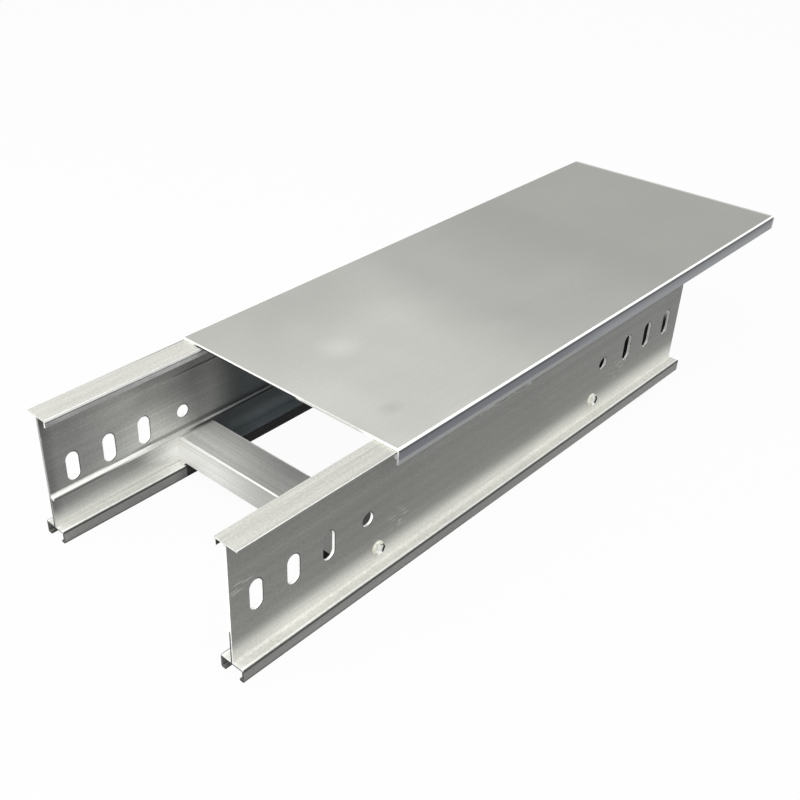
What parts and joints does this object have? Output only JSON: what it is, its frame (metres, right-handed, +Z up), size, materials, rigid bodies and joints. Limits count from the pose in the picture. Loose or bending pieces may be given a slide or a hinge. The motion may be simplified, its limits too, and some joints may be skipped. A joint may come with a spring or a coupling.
{
  "type": "cable ladder section",
  "caption": "Aluminium cable ladder section: flanged side rails with end slots, cross rungs and a clipped-on cover that slides along the rails.",
  "frame": {"origin": "on the floor, in the middle of the whole part as it stands with its cover drawn back", "axes": "+X along the rails from the open end towards the covered end, +Y to the left rail, +Z up"},
  "size_m": [0.631, 0.2036, 0.1016],
  "materials": {
    "rail_aluminium": "extruded mill finish",
    "rung_aluminium": "extruded mill finish",
    "cover_aluminium": "satin rolled sheet",
    "screw_steel": "bright zinc plate"
  },
  "bodies": {
    "ladder": {"side_rail_left": "rail_aluminium", "side_rail_right": "rail_aluminium", "rung_near": "rung_aluminium", "rung_far": "rung_aluminium", "screw_near_left": "screw_steel", "screw_near_right": "screw_steel", "screw_far_left": "screw_steel", "screw_far_right": "screw_steel"},
    "cover": {"cover": "cover_aluminium"}
  },
  "joints": [
    {"name": "cover_slide", "type": "slide", "parent": "ladder", "child": "cover", "axis": [1, 0, 0], "range_m": [-0.129, 0.121]}
  ]
}
